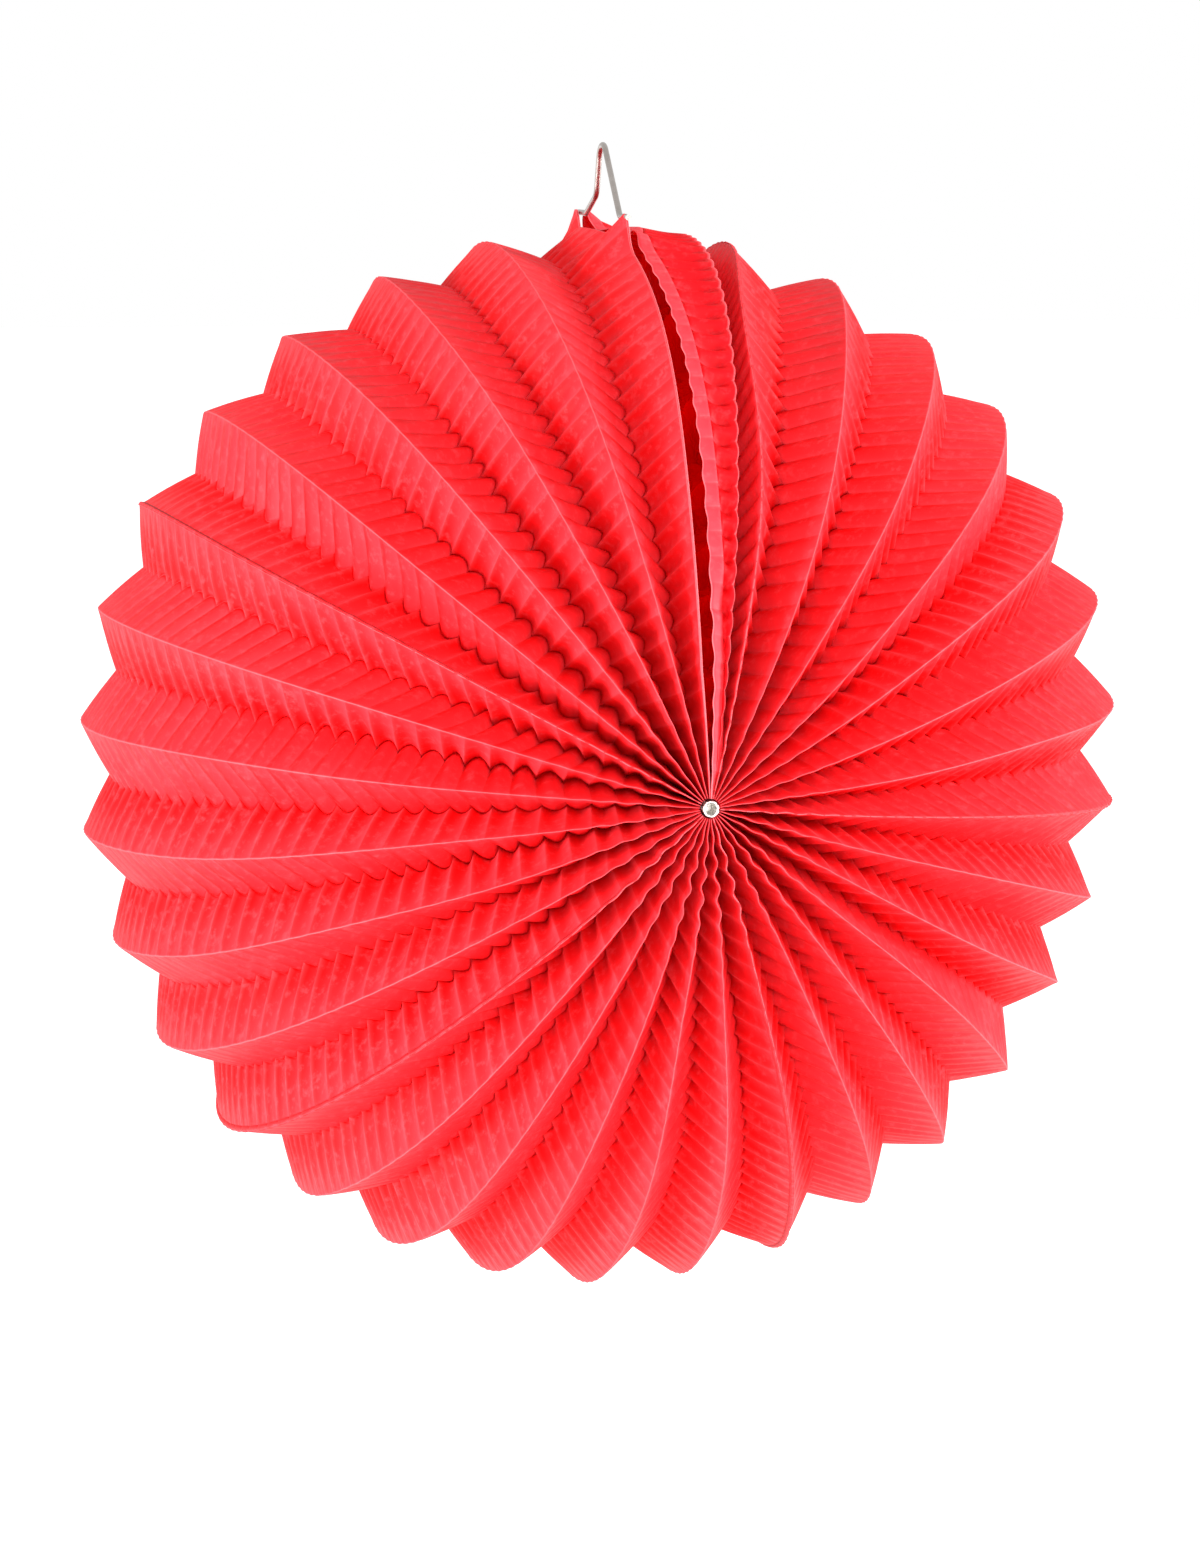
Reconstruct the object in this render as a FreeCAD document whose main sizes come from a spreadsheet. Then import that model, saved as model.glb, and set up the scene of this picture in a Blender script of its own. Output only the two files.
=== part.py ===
"""Accordion paper lantern: a ball of folded paper pleats, fanned out round two hub eyelets
and hung from a bent wire bail.

Axes: the pole axis, through both hub eyelets, runs along Y, the front hub faces -Y, +Z is up.
Origin: the hanging point, on the underside of the wire at the top of the bail.
A place on the ball is given by its longitude, clockwise from the top as seen from the front,
and by its travel, the angle from the front pole along the meridian to the rear pole.
"""
import FreeCAD, Part
import math
import os
import Sketcher

SIZES = {
    # ball of pleats
    "ridge_radius": 125.0,      # outer fold lines, from the ball's centre
    "pleat_depth": 9.0,         # ridge to valley at the widest part of the ball
    "pleat_count": 30,          # whole pleats between the two end pleats
    "pleats_in_sheet": 6,       # whole pleats in a sheet of paper; the first sheet has one more
    "paper_thickness": 0.3,     # crinkled paper, as thick as its crinkles make it
    "valley_gap": 0.2,          # half of the clearance between two pleats' valley folds
    "crowd_radius": 30.0,       # inside this, paper and gaps thin out towards the hub
    "first_ridge_angle": 14.8,  # longitude of the first whole pleat's ridge
    "end_ridge_angle": 8.7,     # longitude of the free end's ridge
    # how unevenly the paper hangs: ridges slip back, and the ball bulges and flattens a little
    "slip": 6.5,                # degrees, at its greatest
    "slip_longitude": 245.0,
    "slip_spread": 70.0,
    "bulge": 2.7,               # outwards, near the bottom
    "bulge_longitude": 200.0,
    "bulge_spread": 42.0,
    "flattening": 3.6,          # inwards, on the right
    "flattening_longitude": 105.0,
    "flattening_spread": 38.0,
    # the slit between the two ends of the folded strip
    "slit_gape": 2.0,           # how far the lips part between a foot and a hub
    "mouth_gape": 8.0,          # how far the lips part between the two feet
    "hem_width": 3.2,           # glued hem along each lip
    "hem_thickness": 0.4,
    "hem_clearance": 0.1,
    "ear_beyond_foot": 6.0,     # from a foot's bend to the top of the ear pinched round it
    "ear_spread": 5.0,
    "ear_cover": 0.4,           # how far an ear stands above the wire
    # wire bail
    "wire_diameter": 1.4,
    "wire_clearance": 0.3,      # between the wire's feet and the lips round them
    "bail_height": 15.8,        # hanging point down to the feet
    "foot_rise": 3.0,           # feet above the ridges' radius
    "foot_spread": 21.0,        # middle of the slit to the bend of each foot
    "foot_length": 10.0,
    "foot_bend_radius": 2.5,
    "bail_top_radius": 5.0,
    "knee_out": 8.0,            # the rear leg drops to a knee, then slants out to its foot
    "knee_drop": 11.2,
    "knee_radius": 4.0,
    # hub eyelets
    "eyelet_barrel": 1.6,       # outer radius of the barrel
    "eyelet_wall": 0.4,
    "eyelet_lip": 0.4,          # how far a flange reaches past the ends of the pleats
    "eyelet_flange_height": 0.5,
    "eyelet_clearance": 0.1,    # between a flange and the pleats
    "hub_clearance": 0.6,       # between the barrel and the ends of the pleats
}
STATIONS = 15                   # cross-sections along a pleat, hub to hub

doc = FreeCAD.newDocument("paper_lantern")
sheet = doc.addObject("Spreadsheet::Sheet", "sizes")
for row, (name, value) in enumerate(SIZES.items(), start=1):
    sheet.set(f"A{row}", name)
    sheet.set(f"B{row}", str(value))
    sheet.setAlias(f"B{row}", name)
doc.recompute()


def size(name):
    """A driving dimension, read from the spreadsheet."""
    return float(sheet.get(name))


def vector(x, y, z):
    return FreeCAD.Vector(x, y, z)


# ---------------------------------------------------------------- layout shared by the pieces
RADIUS = size("ridge_radius")
COUNT = int(size("pleat_count"))
WIRE_RADIUS = size("wire_diameter") / 2
FOOT_GAP = size("wire_diameter") + 2 * size("wire_clearance")
LIP_ANGLE = math.degrees((FOOT_GAP / 2 + size("hem_thickness")) / RADIUS)
PITCH = (360.0 - LIP_ANGLE - size("first_ridge_angle")) / COUNT
END_HALF = (size("first_ridge_angle") - size("end_ridge_angle")) / 2
PANEL_WIDTH = math.hypot(size("pleat_depth"), RADIUS * math.radians(PITCH) / 2)
FOOT_HEIGHT = RADIUS + size("foot_rise")
CENTRE = FreeCAD.Vector(0, 0, -size("bail_height") - FOOT_HEIGHT)
HUB_OPENING = size("eyelet_barrel") + size("hub_clearance")
START_TRAVEL = math.degrees(math.asin(HUB_OPENING / RADIUS))
EAR_PLACE = size("foot_spread") + size("ear_beyond_foot")
EAR_RISE = math.hypot(FOOT_HEIGHT + WIRE_RADIUS + size("ear_cover"), EAR_PLACE) - RADIUS
EAR_TRAVEL = math.degrees(math.asin(EAR_PLACE / RADIUS))
EAR_SPREAD = math.degrees(size("ear_spread") / RADIUS)


def unevenness(name, longitude):
    """How strongly an unevenness shows at a longitude, from 1 at its middle to 0 far away."""
    return math.exp(-((longitude - size(name + "_longitude")) / size(name + "_spread")) ** 2)


def ridge_angle(number):
    """Longitude of a whole pleat's ridge; past the last one comes the left lip."""
    even = size("first_ridge_angle") + PITCH * number
    if number in (0, COUNT):
        return even
    return even - size("slip") * unevenness("slip", even)


def valley_angle(number):
    """Longitude of the valley behind a whole pleat."""
    return (ridge_angle(number) + ridge_angle(number + 1)) / 2


def ball_radius(longitude, travel):
    """Radius of the ridges, which is even only at the hubs and the top."""
    out = size("bulge") * unevenness("bulge", longitude)
    inward = size("flattening") * unevenness("flattening", longitude)
    return RADIUS + (out - inward) * math.sin(math.radians(travel)) ** 2


def travels():
    """Angles from the front pole of the cross-sections, evenly spaced from hub to hub."""
    step = (180.0 - 2 * START_TRAVEL) / (STATIONS - 1)
    return [START_TRAVEL + step * i for i in range(STATIONS)]


def lip_travels():
    """The pleats' cross-sections, with closer ones where the lips rise round the feet."""
    ears = [EAR_TRAVEL + step * EAR_SPREAD for step in range(-2, 3)]
    near = [90 + side * ear for side in (-1, 1) for ear in ears]
    far = [place for place in travels() if abs(abs(place - 90) - EAR_TRAVEL) > 3 * EAR_SPREAD]
    return sorted(near + far)


def section_point(radius, travel, sideways=0.0):
    """A point of the top meridian plane, moved sideways along X."""
    angle = math.radians(travel)
    return FreeCAD.Vector(sideways, -radius * math.cos(angle), radius * math.sin(angle))


def fold_point(radius, travel, longitude):
    """A point of a fold line, which lies in the meridian plane of its longitude."""
    angle = math.radians(travel)
    turn = math.radians(longitude)
    out = radius * math.sin(angle)
    return FreeCAD.Vector(out * math.sin(turn), -radius * math.cos(angle), out * math.cos(turn))


def crowded(length, travel):
    """A small length in full over most of the ball, thinning out where the folds meet."""
    return length * min(1.0, RADIUS * math.sin(math.radians(travel)) / size("crowd_radius"))


def fold_depth(travel, half_angle):
    """Ridge to valley: what is left of a panel's width once it spans its share of the round."""
    span = RADIUS * math.sin(math.radians(travel)) * math.radians(half_angle)
    return math.sqrt(PANEL_WIDTH ** 2 - span ** 2)


def cap(corners):
    """Triangles that close an end, between its outer corners and its inner ones."""
    faces = []
    last = len(corners) - 1
    for i in range(len(corners) // 2 - 1):
        outer, outer_next = corners[i], corners[i + 1]
        inner, inner_next = corners[last - i], corners[last - 1 - i]
        for triangle in ((outer, outer_next, inner_next), (outer, inner_next, inner)):
            faces.append(Part.Face(Part.makePolygon([*triangle, triangle[0]])))
    return faces


def lofted(places, sections):
    """A closed solid through closed polygons with the same corners, one at each travel."""
    edges = []
    for corner in zip(*sections):
        curve = Part.BSplineCurve()
        curve.interpolate(Points=list(corner), Parameters=places)
        edges.append(curve.toShape())
    faces = [Part.makeRuledSurface(one, other) for one, other in zip(edges, edges[1:] + edges[:1])]
    faces += cap(sections[0]) + cap(sections[-1])
    shell = Part.makeShell(faces)
    shell.sewShape()
    solid = Part.makeSolid(shell)
    if solid.Volume < 0:
        solid.reverse()
    return solid


# ---------------------------------------------------------------- paper
def pleat_solid(number):
    """One pleat, ridge at the top: two panels that meet in the ridge, open underneath."""
    longitude = ridge_angle(number)
    right_half = valley_angle(number) - longitude
    left_half = longitude - valley_angle(number - 1) if number else END_HALF
    sections = []
    for travel in travels():
        sides = []
        for sign, half_angle in ((-1, left_half), (1, right_half)):
            depth = fold_depth(travel, half_angle)
            radius = ball_radius(longitude + sign * half_angle, travel)
            foot = fold_point(radius - depth, travel, sign * half_angle)
            foot.x -= sign * crowded(size("valley_gap"), travel)
            wall = min(size("paper_thickness") * PANEL_WIDTH / depth, 0.6 * abs(foot.x))
            inner = FreeCAD.Vector(foot.x - sign * wall, foot.y, foot.z)
            sides.append((foot, inner, depth * wall / abs(foot.x)))
        (left, left_in, drop_left), (right, right_in, drop_right) = sides
        radius = ball_radius(longitude, travel)
        ridge = section_point(radius, travel)
        ridge_in = section_point(radius - (drop_left + drop_right) / 2, travel)
        sections.append([left, ridge, right, right_in, ridge_in, left_in])
    return lofted(travels(), sections)


def lip_gap(travel):
    """Width of the slit: closed on the wire at both feet, parted between them and to the hubs."""
    front, rear = 90.0 - EAR_TRAVEL, 90.0 + EAR_TRAVEL
    gape = size("slit_gape")
    if travel < front:
        share = (travel - START_TRAVEL) / (front - START_TRAVEL)
    elif travel > rear:
        share = (travel - rear) / (180.0 - START_TRAVEL - rear)
    else:
        share = (travel - front) / (rear - front)
        gape = size("mouth_gape")
    return crowded(FOOT_GAP + gape * math.sin(math.pi * share) ** 2, travel)


def lip_radius(travel):
    """The lips follow the ridges, and rise into an ear round each foot of the bail."""
    along = abs(RADIUS * math.cos(math.radians(travel)))
    away = (along - EAR_PLACE) / size("ear_spread")
    return RADIUS + EAR_RISE * math.exp(-away ** 2)


def fixed_hem_solid():
    """The hem of the left lip, turned down inside the slit."""
    sections = []
    for travel in lip_travels():
        outer = -lip_gap(travel) / 2
        inner = outer - crowded(size("hem_thickness"), travel)
        top = lip_radius(travel)
        low = top - size("hem_width")
        corners = ((low, inner), (top, inner), (top, outer), (low, outer))
        sections.append([section_point(radius, travel, x) for radius, x in corners])
    return lofted(lip_travels(), sections)


def fixed_end_solid():
    """The half pleat at the fixed end, from the last valley up to the left lip."""
    sections = []
    longitude = valley_angle(COUNT - 1)
    for travel in lip_travels():
        depth = fold_depth(travel, ridge_angle(COUNT) - longitude)
        valley = fold_point(RADIUS - depth, travel, longitude - 360)
        valley.x += crowded(size("valley_gap"), travel)
        behind_hem = size("hem_thickness") + size("hem_clearance")
        edge = -lip_gap(travel) / 2 - crowded(behind_hem, travel)
        span = edge - valley.x
        wall = min(size("paper_thickness") * PANEL_WIDTH / depth, 0.5 * span)
        top = lip_radius(travel)
        valley_in = FreeCAD.Vector(valley.x + wall, valley.y, valley.z)
        lip_in = section_point(top - (top - RADIUS + depth) * wall / span, travel, edge)
        sections.append([valley, section_point(top, travel, edge), lip_in, valley_in])
    return lofted(lip_travels(), sections)


def free_hem_edges(travel):
    """Inner edge and outer edge of the right lip's hem, which lies along the ball's surface."""
    start = lip_gap(travel) / 2
    ridge = fold_point(RADIUS, travel, size("end_ridge_angle")).x
    across = min(size("hem_width"), 0.5 * (ridge - start))
    drop = math.sqrt(size("hem_width") ** 2 - across ** 2)
    top = lip_radius(travel)
    return (top, start), (top - drop - 0.4 * (top - RADIUS), start + across)


def free_hem_solid():
    """The glued hem of the right lip."""
    sections = []
    for travel in lip_travels():
        inner, outer = free_hem_edges(travel)
        wall = size("hem_thickness")
        corners = (inner, outer, (outer[0] - wall, outer[1]), (inner[0] - wall, inner[1]))
        sections.append([section_point(radius, travel, x) for radius, x in corners])
    return lofted(lip_travels(), sections)


def free_end_solid():
    """The end pleat: from the right lip's hem over the end ridge, down to the first valley."""
    sections = []
    wall = size("paper_thickness")
    for travel in lip_travels():
        hem_radius, hem_x = free_hem_edges(travel)[1]
        edge = hem_x + crowded(size("hem_clearance"), travel)
        depth = fold_depth(travel, END_HALF)
        ridge = fold_point(RADIUS, travel, size("end_ridge_angle"))
        ridge_in = fold_point(RADIUS - 1.2 * wall, travel, size("end_ridge_angle") - 0.1)
        foot = fold_point(RADIUS - depth, travel, size("end_ridge_angle") + END_HALF)
        foot.x -= crowded(size("valley_gap"), travel)
        side_wall = min(wall * PANEL_WIDTH / depth, 0.4 * abs(foot.x - ridge.x))
        foot_in = FreeCAD.Vector(foot.x - side_wall, foot.y, foot.z)
        lip = section_point(hem_radius, travel, edge)
        lip_in = section_point(hem_radius - wall, travel, edge)
        sections.append([lip, ridge, foot, foot_in, ridge_in, lip_in])
    return lofted(lip_travels(), sections)


def add_paper(name, shape, longitude=0.0):
    """A paper piece as a feature, turned about the pole axis to its longitude."""
    piece = doc.addObject("Part::Feature", name)
    piece.Label = name
    piece.Shape = shape
    turn = FreeCAD.Rotation(FreeCAD.Vector(0, 1, 0), longitude)
    piece.Placement = FreeCAD.Placement(CENTRE, turn)
    return piece


pieces = []
sheet_number = 1
pleat_number = 0
for number in range(COUNT):
    if number > 1 and (number - 1) % int(size("pleats_in_sheet")) == 0:
        sheet_number += 1
        pleat_number = 0
    pleat_number += 1
    name = f"sheet_{sheet_number}_pleat_{pleat_number}"
    pieces.append(add_paper(name, pleat_solid(number), ridge_angle(number)))
pieces.append(add_paper("free_end_pleat", free_end_solid()))
pieces.append(add_paper("free_end_hem", free_hem_solid()))
pieces.append(add_paper("fixed_end_half_pleat", fixed_end_solid()))
pieces.append(add_paper("fixed_end_hem", fixed_hem_solid()))


# ---------------------------------------------------------------- hub eyelets
def plane(body, role):
    """An origin plane of a body, found by its role."""
    return next(item for item in body.Origin.OriginFeatures if item.Role == role)


def add_sketch(body, name, role):
    sketch = body.newObject("Sketcher::SketchObject", name)
    sketch.AttachmentSupport = [(plane(body, role), "")]
    sketch.MapMode = "FlatFace"
    return sketch


def add_eyelet(name, turn):
    """A rolled metal eyelet: a barrel along Y with a flange at each end of the paper."""
    body = doc.addObject("PartDesign::Body", name)
    body.Label = name
    sketch = add_sketch(body, f"{name}_profile", "XY_Plane")
    height = size("eyelet_flange_height")
    barrel = size("eyelet_barrel")
    bore = barrel - size("eyelet_wall")
    flange = HUB_OPENING + size("eyelet_lip")
    outer = RADIUS + size("eyelet_clearance") + height
    inner = RADIUS - PANEL_WIDTH - size("eyelet_clearance") - height
    outline = [(bore, outer), (flange, outer), (flange, outer - height), (barrel, outer - height),
               (barrel, inner + height), (flange, inner + height), (flange, inner), (bore, inner)]
    points = [FreeCAD.Vector(x, -y, 0) for x, y in outline]
    count = len(points)
    for line in range(count):
        sketch.addGeometry(Part.LineSegment(points[line], points[(line + 1) % count]))
    for line in range(count):
        sketch.addConstraint(Sketcher.Constraint("Coincident", line, 2, (line + 1) % count, 1))
        sketch.addConstraint(Sketcher.Constraint("Vertical" if line % 2 else "Horizontal", line))
    flange_formula = "sizes.eyelet_barrel + sizes.hub_clearance + sizes.eyelet_lip"
    radii = (
        ("outer_flange", 1, flange, flange_formula),
        ("barrel_side", 3, barrel, "sizes.eyelet_barrel"),
        ("inner_flange", 5, flange, flange_formula),
        ("bore_side", 7, bore, "sizes.eyelet_barrel - sizes.eyelet_wall"),
    )
    for label, line, radius, formula in radii:
        index = sketch.addConstraint(Sketcher.Constraint("DistanceX", -1, 1, line, 1, radius))
        sketch.renameConstraint(index, label)
        sketch.setExpression(f"Constraints.{label}", formula)
    for label, line in (("outer_flange_height", 1), ("inner_flange_height", 5)):
        index = sketch.addConstraint(Sketcher.Constraint("DistanceY", line, 1, line, 2, height))
        sketch.renameConstraint(index, label)
        sketch.setExpression(f"Constraints.{label}", "sizes.eyelet_flange_height")
    doc.recompute()
    revolution = body.newObject("PartDesign::Revolution", f"{name}_turned")
    revolution.Profile = sketch
    revolution.ReferenceAxis = (sketch, ["V_Axis"])
    revolution.Angle = 360.0
    body.Placement = FreeCAD.Placement(CENTRE, FreeCAD.Rotation(FreeCAD.Vector(0, 0, 1), turn))
    return body


pieces.append(add_eyelet("front_hub_eyelet", 0))
pieces.append(add_eyelet("rear_hub_eyelet", 180))


# ---------------------------------------------------------------- wire bail
def rounded(before, corner, after, radius):
    """Start, middle and end of the arc that rounds a corner of a flat route."""
    back = (before - corner).normalize()
    ahead = (after - corner).normalize()
    half = back.getAngle(ahead) / 2
    bisector = (back + ahead).normalize()
    centre = corner + bisector * (radius / math.sin(half))
    reach = radius / math.tan(half)
    return corner + back * reach, centre - bisector * radius, corner + ahead * reach


def tangent_point(outside, centre, radius, side):
    """Where a line from an outside point touches a circle."""
    towards = outside - centre
    turn = side * math.acos(radius / towards.Length)
    cosine, sine = math.cos(turn), math.sin(turn)
    towards.normalize()
    across = towards.x * cosine - towards.y * sine
    upward = towards.x * sine + towards.y * cosine
    return centre + FreeCAD.Vector(across, upward, 0) * radius


def bail_route():
    """The wire's centre line from foot to foot, in the plane of the slit: lines and arcs."""
    feet = -size("bail_height")
    tip = size("foot_spread") + size("foot_length")
    centre = FreeCAD.Vector(0, WIRE_RADIUS - size("bail_top_radius"), 0)
    front_foot = FreeCAD.Vector(-size("foot_spread"), feet, 0)
    rear_foot = FreeCAD.Vector(size("foot_spread"), feet, 0)
    knee = FreeCAD.Vector(size("knee_out"), -size("knee_drop"), 0)
    front_touch = tangent_point(front_foot, centre, size("bail_top_radius"), -1)
    rear_touch = tangent_point(knee, centre, size("bail_top_radius"), 1)
    top = FreeCAD.Vector(0, WIRE_RADIUS, 0)
    front_tip = FreeCAD.Vector(-tip, feet, 0)
    rear_tip = FreeCAD.Vector(tip, feet, 0)
    arcs = [
        rounded(front_tip, front_foot, front_touch, size("foot_bend_radius")),
        (front_touch, top, rear_touch),
        rounded(rear_touch, knee, rear_foot, size("knee_radius")),
        rounded(knee, rear_foot, rear_tip, size("foot_bend_radius")),
    ]
    route = []
    here = front_tip
    for start, middle, end in arcs:
        route.append(Part.LineSegment(here, start))
        route.append(Part.Arc(start, middle, end))
        here = end
    route.append(Part.LineSegment(here, rear_tip))
    return route


def add_bail(name):
    """Round steel wire bent into a loop, with a straight foot turned out at each end."""
    body = doc.addObject("PartDesign::Body", name)
    body.Label = name
    path = add_sketch(body, f"{name}_route", "YZ_Plane")
    for geometry in bail_route():
        path.addGeometry(geometry)
    profile = add_sketch(body, f"{name}_section", "XZ_Plane")
    profile.setExpression("AttachmentOffset.Base.y", "-sizes.bail_height")
    profile.setExpression("AttachmentOffset.Base.z", "sizes.foot_spread + sizes.foot_length")
    profile.addGeometry(Part.Circle(FreeCAD.Vector(), FreeCAD.Vector(0, 0, 1), WIRE_RADIUS))
    profile.addConstraint(Sketcher.Constraint("Coincident", 0, 3, -1, 1))
    profile.addConstraint(Sketcher.Constraint("Radius", 0, WIRE_RADIUS))
    profile.setExpression("Constraints[1]", "sizes.wire_diameter / 2")
    doc.recompute()
    pipe = body.newObject("PartDesign::AdditivePipe", f"{name}_wire")
    pipe.Profile = profile
    pipe.Spine = (path, [f"Edge{i + 1}" for i in range(len(path.Geometry))])
    return body


pieces.append(add_bail("wire_bail"))
doc.recompute()


# ---------------------------------------------------------------- checks and files
for item in doc.Objects:
    if "Invalid" in item.State or "Error" in item.State:
        raise RuntimeError(f"{item.Name} failed: {item.State}")
for piece in pieces:
    if piece.Shape.isNull() or not piece.Shape.isValid() or piece.Shape.Volume <= 0:
        raise RuntimeError(f"{piece.Label} has no valid solid")
os.makedirs("parts", exist_ok=True)
for piece in pieces:
    piece.Shape.exportStep(f"parts/{piece.Label}.step")
    print(f"{piece.Label}: {len(piece.Shape.Solids)} solid, {piece.Shape.Volume:.1f} mm3")
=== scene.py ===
import bpy, random
from math import atan2, cos, exp, hypot, pi, radians, sin, sqrt
from mathutils import Matrix, Vector


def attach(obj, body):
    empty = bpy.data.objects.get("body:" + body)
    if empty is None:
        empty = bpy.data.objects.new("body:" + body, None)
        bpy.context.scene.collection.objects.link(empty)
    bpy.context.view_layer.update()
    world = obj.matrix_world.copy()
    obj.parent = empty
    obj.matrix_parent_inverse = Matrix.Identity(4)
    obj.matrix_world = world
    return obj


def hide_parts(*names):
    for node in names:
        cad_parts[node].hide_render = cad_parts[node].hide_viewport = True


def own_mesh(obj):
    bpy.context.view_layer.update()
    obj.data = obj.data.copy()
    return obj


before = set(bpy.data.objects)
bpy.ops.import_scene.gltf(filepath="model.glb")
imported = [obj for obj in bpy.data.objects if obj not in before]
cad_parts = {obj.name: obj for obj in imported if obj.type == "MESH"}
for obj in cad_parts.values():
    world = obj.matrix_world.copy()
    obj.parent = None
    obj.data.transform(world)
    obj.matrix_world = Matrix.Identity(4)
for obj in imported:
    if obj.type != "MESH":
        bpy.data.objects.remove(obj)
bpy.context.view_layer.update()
bpy.ops.object.select_all(action="DESELECT")


# ---- Camera ----
# A still-life camera a metre and a half off, a little left of the front hub and just above its height.
# It looks level with the ball, whose middle lies below the loop that it hangs from.
BALL_MIDDLE = Vector((0.0, 0.0, -0.1438))
camera_round, camera_above = radians(-10.9), radians(6.3)
camera_back = Vector((sin(camera_round) * cos(camera_above), -cos(camera_round) * cos(camera_above),
                      sin(camera_above)))
camera_right = Vector((cos(camera_round), sin(camera_round), 0.0))
camera_up = camera_back.cross(camera_right)
bpy.ops.object.camera_add()
camera = bpy.context.object
camera.name = "still_life_camera"
camera.data.sensor_fit = "VERTICAL"
camera.data.sensor_height = 24.0
camera.data.lens = 96.35
aim = BALL_MIDDLE - 0.0007 * camera_right - 0.0068 * camera_up
camera.matrix_world = Matrix.Translation(aim + 1.5 * camera_back) @ Matrix(
    (camera_right, camera_up, camera_back)).transposed().to_4x4()
bpy.context.scene.camera = camera


# ---- Thirty pleats ----
# Five sheets of thin red tissue-like paper, each folded into pleats that run from hub to hub.
# The inner folds are shorter than the ridges, so the paper gathers there into small rounded lobes
# with a sharp nick between them. Neighbouring pleats share each inner fold, and so its lobes.
RIDGE_RADIUS = 0.125
PANEL_WIDTH = 0.01543
PLEAT_PITCH = radians(11.4853)
FIRST_RIDGE = radians(14.8)
END_HALF_PITCH = radians(3.05)
HUB_TRAVEL = radians(1.008)
PAPER_THICKNESS = 0.00022
PLEATS_OF_SHEETS = (7, 6, 6, 6, 5)
SLIP, SLIP_MIDDLE, SLIP_SPREAD = radians(6.5), radians(245), radians(70)
BULGE, BULGE_MIDDLE, BULGE_SPREAD = 0.0027, radians(200), radians(42)
FLATTENING, FLAT_MIDDLE, FLAT_SPREAD = 0.0036, radians(105), radians(38)
LOBES = 64                                   # about 6 mm apart along a ridge
LOBE_ROWS = (0.0, 0.05, 0.17, 0.33, 0.5, 0.67, 0.83, 0.95)
COLUMN_SHARES = (0.0, 0.025, 0.13, 0.3, 0.48, 0.66, 0.82, 0.94, 1.0)
END_RIDGE = radians(8.7)
ROWS = LOBES * len(LOBE_ROWS)
HALF_PLEAT_COLUMNS = 8
CROWD_RADIUS = 0.030
LOBE_PUSH = 0.00145                          # how far a lobe stands to one side of its fold
RED_DYES_AND_PAINTED_SHADE = ("#F62832", "#FD434D", "#EE0002")     # two tones of the sheet, and a deep red painted as shade in the folds and on one flank of each lobe
# pale reds for the folds, partly wear and partly painted highlight, and for the painted highlight streaks at
# the nicks, which also colours the pale fibre flecks
FOLD_WEAR_AND_HIGHLIGHT_RED, NICK_HIGHLIGHT_AND_FLECK_RED = "#FF747C", "#FF626C"


def hump(place, middle, spread):
    return exp(-((place - middle) / spread) ** 2)


def ridge_angle(number):
    """Where a ridge stands round the ball; the paper has slipped back at the lower left."""
    even = FIRST_RIDGE + PLEAT_PITCH * number
    return even if number in (0, 30) else even - SLIP * hump(even, SLIP_MIDDLE, SLIP_SPREAD)


def ball_radius(longitude, travel):
    """The ball bulges a little at the bottom and is flatter on the right."""
    bulge = BULGE * hump(longitude, BULGE_MIDDLE, BULGE_SPREAD)
    return RIDGE_RADIUS + (bulge - FLATTENING * hump(longitude, FLAT_MIDDLE, FLAT_SPREAD)) * sin(travel) ** 2


def drawn(longitude, travel):
    """The first pleats are drawn towards the slit in front, by up to four degrees."""
    rise = min(1.0, max(0.0, (longitude - END_RIDGE) / (FIRST_RIDGE - END_RIDGE)))
    fall = exp(-max(0.0, longitude - FIRST_RIDGE) / radians(14))
    return longitude - radians(3.9) * rise * fall * hump(travel, radians(58), radians(26))


def on_ball(radius, travel, longitude):
    """The point at this travel from the front hub, on the half circle at this longitude."""
    return BALL_MIDDLE + radius * Vector((sin(travel) * sin(longitude), -cos(travel),
                                          sin(travel) * cos(longitude)))


def sideways(longitude):
    return Vector((cos(longitude), 0.0, -sin(longitude)))


def crowding(travel, room=CROWD_RADIUS):
    """How much of its free shape the paper keeps as the pleats crowd together at a hub."""
    return min(1.0, RIDGE_RADIUS * sin(travel) / room)


def fold_depth(travel, half_pitch):
    return sqrt(PANEL_WIDTH ** 2 - (RIDGE_RADIUS * sin(travel) * half_pitch) ** 2)


def gathered_fold(number):
    """The lobes along one inner fold: where each nick is, how high each lobe, and its lean."""
    chance = random.Random(700 + number)
    return {"slide": chance.uniform(-0.5, 0.5),
            "nicks": [chance.uniform(-0.12, 0.12) for _ in range(LOBES + 1)],
            "heights": [chance.uniform(0.7, 1.2) for _ in range(LOBES + 1)],
            "lean": chance.choice((-1.0, 1.0)),
            "swell": (chance.uniform(1.0, 3.0), chance.uniform(0.0, 6.28)),
            "lift": chance.uniform(-0.15, 0.3)}


FOLDS = [gathered_fold(number) for number in range(31)]


def row_travel(row, fold=None):
    """How far from the front hub a row of the mesh lies, along a ridge or along an inner fold."""
    lobe, part = divmod(row, len(LOBE_ROWS))
    place = lobe + LOBE_ROWS[part]
    if fold:
        ends = min(1.0, place / 6.0, (LOBES - place) / 6.0)
        nick = fold["nicks"][lobe] * (1 - LOBE_ROWS[part])
        if lobe < LOBES:
            nick += fold["nicks"][lobe + 1] * LOBE_ROWS[part]
        place += (fold["slide"] + nick) * max(0.0, ends)
    return HUB_TRAVEL + (pi - 2 * HUB_TRAVEL) * place / LOBES


def lobe_arch(row):
    """The rounded lobe with a sharp nick at each end, -1 to 1, and the soft wave it fades into."""
    part = LOBE_ROWS[row % len(LOBE_ROWS)]
    return 2 * sin(pi * part) ** 0.7 - 1, -cos(2 * pi * part)


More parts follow.
